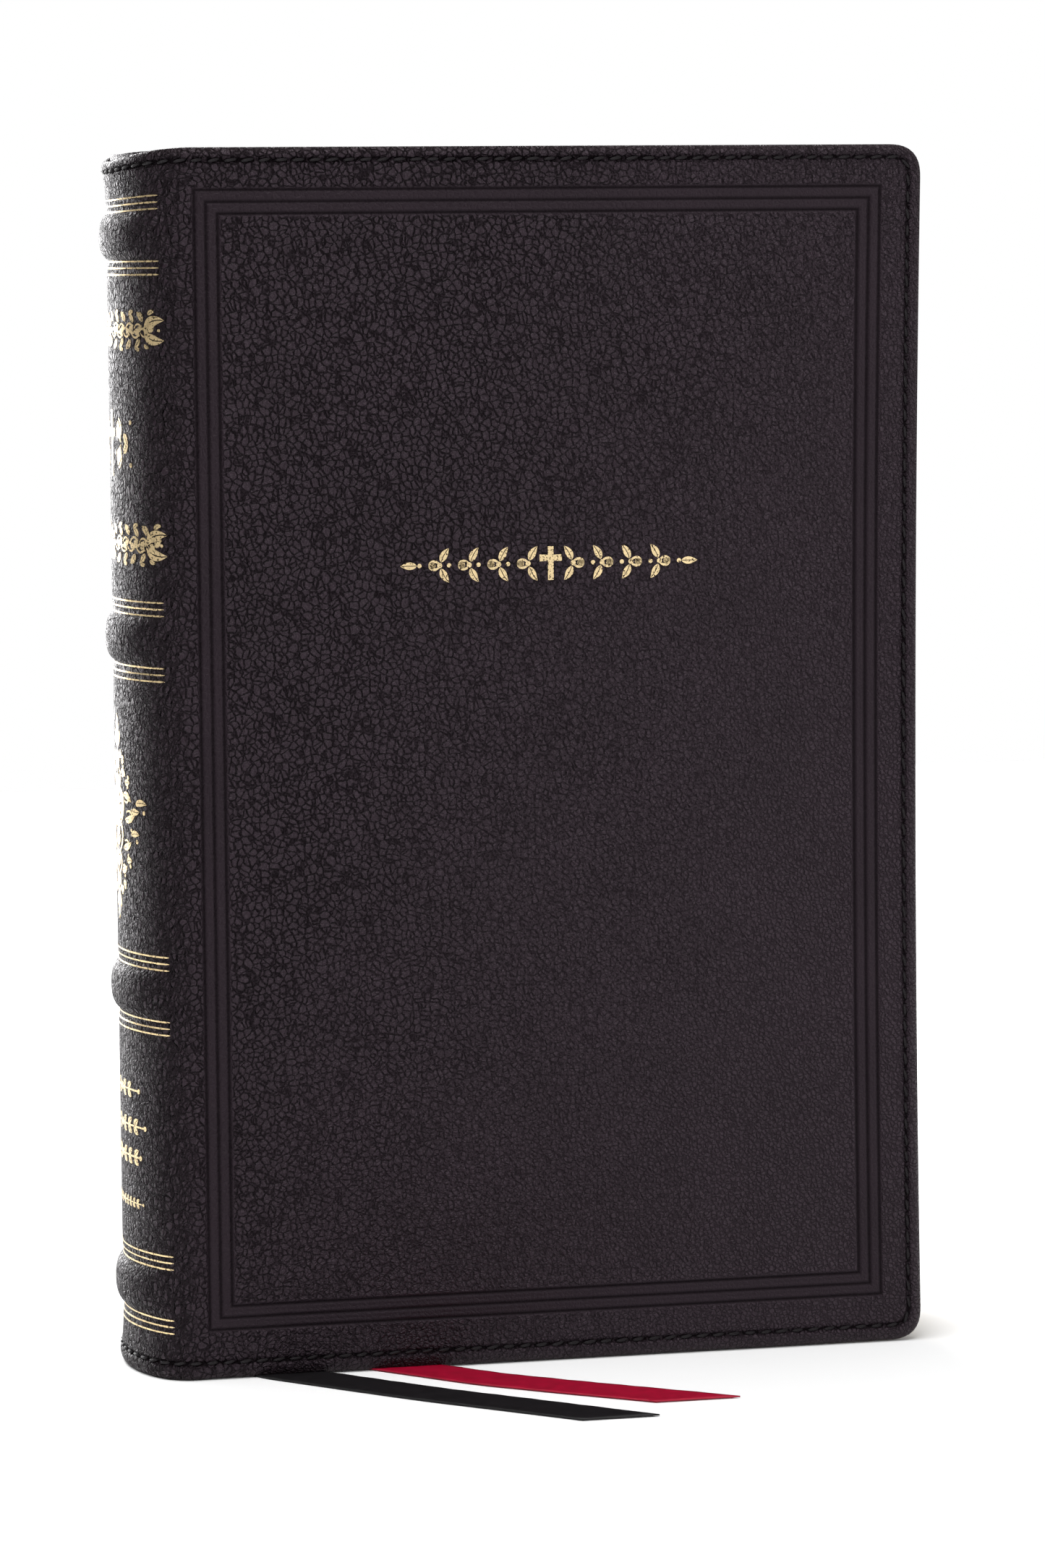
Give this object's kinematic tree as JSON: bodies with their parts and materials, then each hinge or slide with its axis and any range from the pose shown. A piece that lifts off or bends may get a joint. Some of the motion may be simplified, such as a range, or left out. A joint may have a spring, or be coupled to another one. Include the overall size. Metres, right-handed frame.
{
  "type": "bible",
  "caption": "Closed leather-bound bible standing upright, with raised spine bands, gold rules, hinged covers, leaves that fan open and ribbon markers.",
  "frame": {"origin": "middle of the closed book's footprint on the surface it stands on, without the ribbons", "axes": "+Z from tail to head, +X from the spine to the fore-edge, +Y from the front cover to the back cover"},
  "size_m": [0.1546, 0.0915, 0.232],
  "materials": {
    "cover_leather": "satin",
    "board": "matte",
    "band_strip": "matte",
    "lining": "satin",
    "flyleaf": "matte",
    "stitch_thread": "satin",
    "gold_foil": "satin",
    "kraft": "matte",
    "mull_cloth": "matte",
    "tape_cloth": "matte",
    "sewing_thread": "matte",
    "headband_silk": "satin",
    "page_paper": "matte",
    "ribbon_black": "satin",
    "ribbon_red": "satin"
  },
  "bodies": {
    "root": {"spine_leather": "cover_leather", "spine_inlay": "board", "raised_band_strips": "band_strip", "spine_stitching": "stitch_thread", "spine_rules_foil": "gold_foil", "spine_ornament_foil": "gold_foil", "kraft_hollow": "kraft", "mull": "mull_cloth", "sewing_tapes": "tape_cloth", "sewing_thread": "sewing_thread", "head_band": "headband_silk", "tail_band": "headband_silk", "front_sewn_folds": "page_paper", "back_sewn_folds": "page_paper", "ribbon_black_marker": "ribbon_black", "ribbon_red_marker": "ribbon_red", "ribbon_black_tail": "ribbon_black", "ribbon_red_tail": "ribbon_red", "section_1": "page_paper", "section_2": "page_paper", "section_3": "page_paper", "section_4": "page_paper", "section_5": "page_paper", "section_6": "page_paper", "section_7": "page_paper"},
    "front_cover": {"front_cover_leather": "cover_leather", "front_cover_board": "board", "front_cover_lining": "lining", "front_cover_stitching": "stitch_thread", "front_cover_foil": "gold_foil"},
    "back_cover": {"back_cover_leather": "cover_leather", "back_cover_board": "board", "back_cover_lining": "lining", "back_cover_stitching": "stitch_thread"},
    "front_flyleaf": {"front_flyleaf": "flyleaf"},
    "back_flyleaf": {"back_flyleaf": "flyleaf"},
    "front_leaves_1": {"front_leaves_1": "page_paper"},
    "front_leaves_2": {"front_leaves_2": "page_paper"},
    "front_leaves_3": {"front_leaves_3": "page_paper"},
    "front_leaves_4": {"front_leaves_4": "page_paper"},
    "front_leaves_5": {"front_leaves_5": "page_paper"},
    "front_leaves_6": {"front_leaves_6": "page_paper"},
    "front_leaves_7": {"front_leaves_7": "page_paper"},
    "back_leaves_1": {"back_leaves_1": "page_paper"},
    "back_leaves_2": {"back_leaves_2": "page_paper"},
    "back_leaves_3": {"back_leaves_3": "page_paper"},
    "back_leaves_4": {"back_leaves_4": "page_paper"}
  },
  "joints": [
    {"name": "front_cover_hinge", "type": "hinge", "parent": "root", "child": "front_cover", "pos_m": [-0.062, -0.0203, 0.116], "axis": [0, 0, -1], "range_deg": [0, 180]},
    {"name": "back_cover_hinge", "type": "hinge", "parent": "root", "child": "back_cover", "pos_m": [-0.062, 0.0203, 0.116], "axis": [0, 0, 1], "range_deg": [0, 180]},
    {"name": "front_flyleaf_turn", "type": "hinge", "parent": "root", "child": "front_flyleaf", "pos_m": [-0.057, -0.01715, 0.116], "axis": [0, 0, -1], "range_deg": [0, 136]},
    {"name": "back_flyleaf_turn", "type": "hinge", "parent": "root", "child": "back_flyleaf", "pos_m": [-0.057, 0.01715, 0.116], "axis": [0, 0, 1], "range_deg": [0, 136]},
    {"name": "front_leaves_1_turn", "type": "hinge", "parent": "root", "child": "front_leaves_1", "pos_m": [-0.054, -0.0168, 0.116], "axis": [0, 0, -1], "range_deg": [0, 123.4]},
    {"name": "front_leaves_2_turn", "type": "hinge", "parent": "root", "child": "front_leaves_2", "pos_m": [-0.051, -0.0155, 0.116], "axis": [0, 0, -1], "range_deg": [0, 109]},
    {"name": "front_leaves_3_turn", "type": "hinge", "parent": "root", "child": "front_leaves_3", "pos_m": [-0.048, -0.0142, 0.116], "axis": [0, 0, -1], "range_deg": [0, 94.6]},
    {"name": "front_leaves_4_turn", "type": "hinge", "parent": "root", "child": "front_leaves_4", "pos_m": [-0.0454, -0.0129, 0.116], "axis": [0, 0, -1], "range_deg": [0, 78.4]},
    {"name": "front_leaves_5_turn", "type": "hinge", "parent": "root", "child": "front_leaves_5", "pos_m": [-0.043, -0.0116, 0.116], "axis": [0, 0, -1], "range_deg": [0, 62.2]},
    {"name": "front_leaves_6_turn", "type": "hinge", "parent": "root", "child": "front_leaves_6", "pos_m": [-0.0406, -0.0103, 0.116], "axis": [0, 0, -1], "range_deg": [0, 44.2]},
    {"name": "front_leaves_7_turn", "type": "hinge", "parent": "root", "child": "front_leaves_7", "pos_m": [-0.0382, -0.009, 0.116], "axis": [0, 0, -1], "range_deg": [0, 24.4]},
    {"name": "back_leaves_1_turn", "type": "hinge", "parent": "root", "child": "back_leaves_1", "pos_m": [-0.054, 0.0168, 0.116], "axis": [0, 0, 1], "range_deg": [0, 112.6]},
    {"name": "back_leaves_2_turn", "type": "hinge", "parent": "root", "child": "back_leaves_2", "pos_m": [-0.051, 0.0155, 0.116], "axis": [0, 0, 1], "range_deg": [0, 87.4]},
    {"name": "back_leaves_3_turn", "type": "hinge", "parent": "root", "child": "back_leaves_3", "pos_m": [-0.048, 0.0142, 0.116], "axis": [0, 0, 1], "range_deg": [0, 60.4]},
    {"name": "back_leaves_4_turn", "type": "hinge", "parent": "root", "child": "back_leaves_4", "pos_m": [-0.0454, 0.0129, 0.116], "axis": [0, 0, 1], "range_deg": [0, 31.6]}
  ],
  "couplings": [
    {"joint": "front_flyleaf_turn", "follows": "front_cover_hinge", "ratio": 0.75},
    {"joint": "back_flyleaf_turn", "follows": "back_cover_hinge", "ratio": 0.75},
    {"joint": "front_leaves_1_turn", "follows": "front_cover_hinge", "ratio": 0.68},
    {"joint": "front_leaves_2_turn", "follows": "front_cover_hinge", "ratio": 0.6},
    {"joint": "front_leaves_3_turn", "follows": "front_cover_hinge", "ratio": 0.52},
    {"joint": "front_leaves_4_turn", "follows": "front_cover_hinge", "ratio": 0.43},
    {"joint": "front_leaves_5_turn", "follows": "front_cover_hinge", "ratio": 0.34},
    {"joint": "front_leaves_6_turn", "follows": "front_cover_hinge", "ratio": 0.24},
    {"joint": "front_leaves_7_turn", "follows": "front_cover_hinge", "ratio": 0.13},
    {"joint": "back_leaves_1_turn", "follows": "back_cover_hinge", "ratio": 0.62},
    {"joint": "back_leaves_2_turn", "follows": "back_cover_hinge", "ratio": 0.48},
    {"joint": "back_leaves_3_turn", "follows": "back_cover_hinge", "ratio": 0.33},
    {"joint": "back_leaves_4_turn", "follows": "back_cover_hinge", "ratio": 0.17}
  ]
}
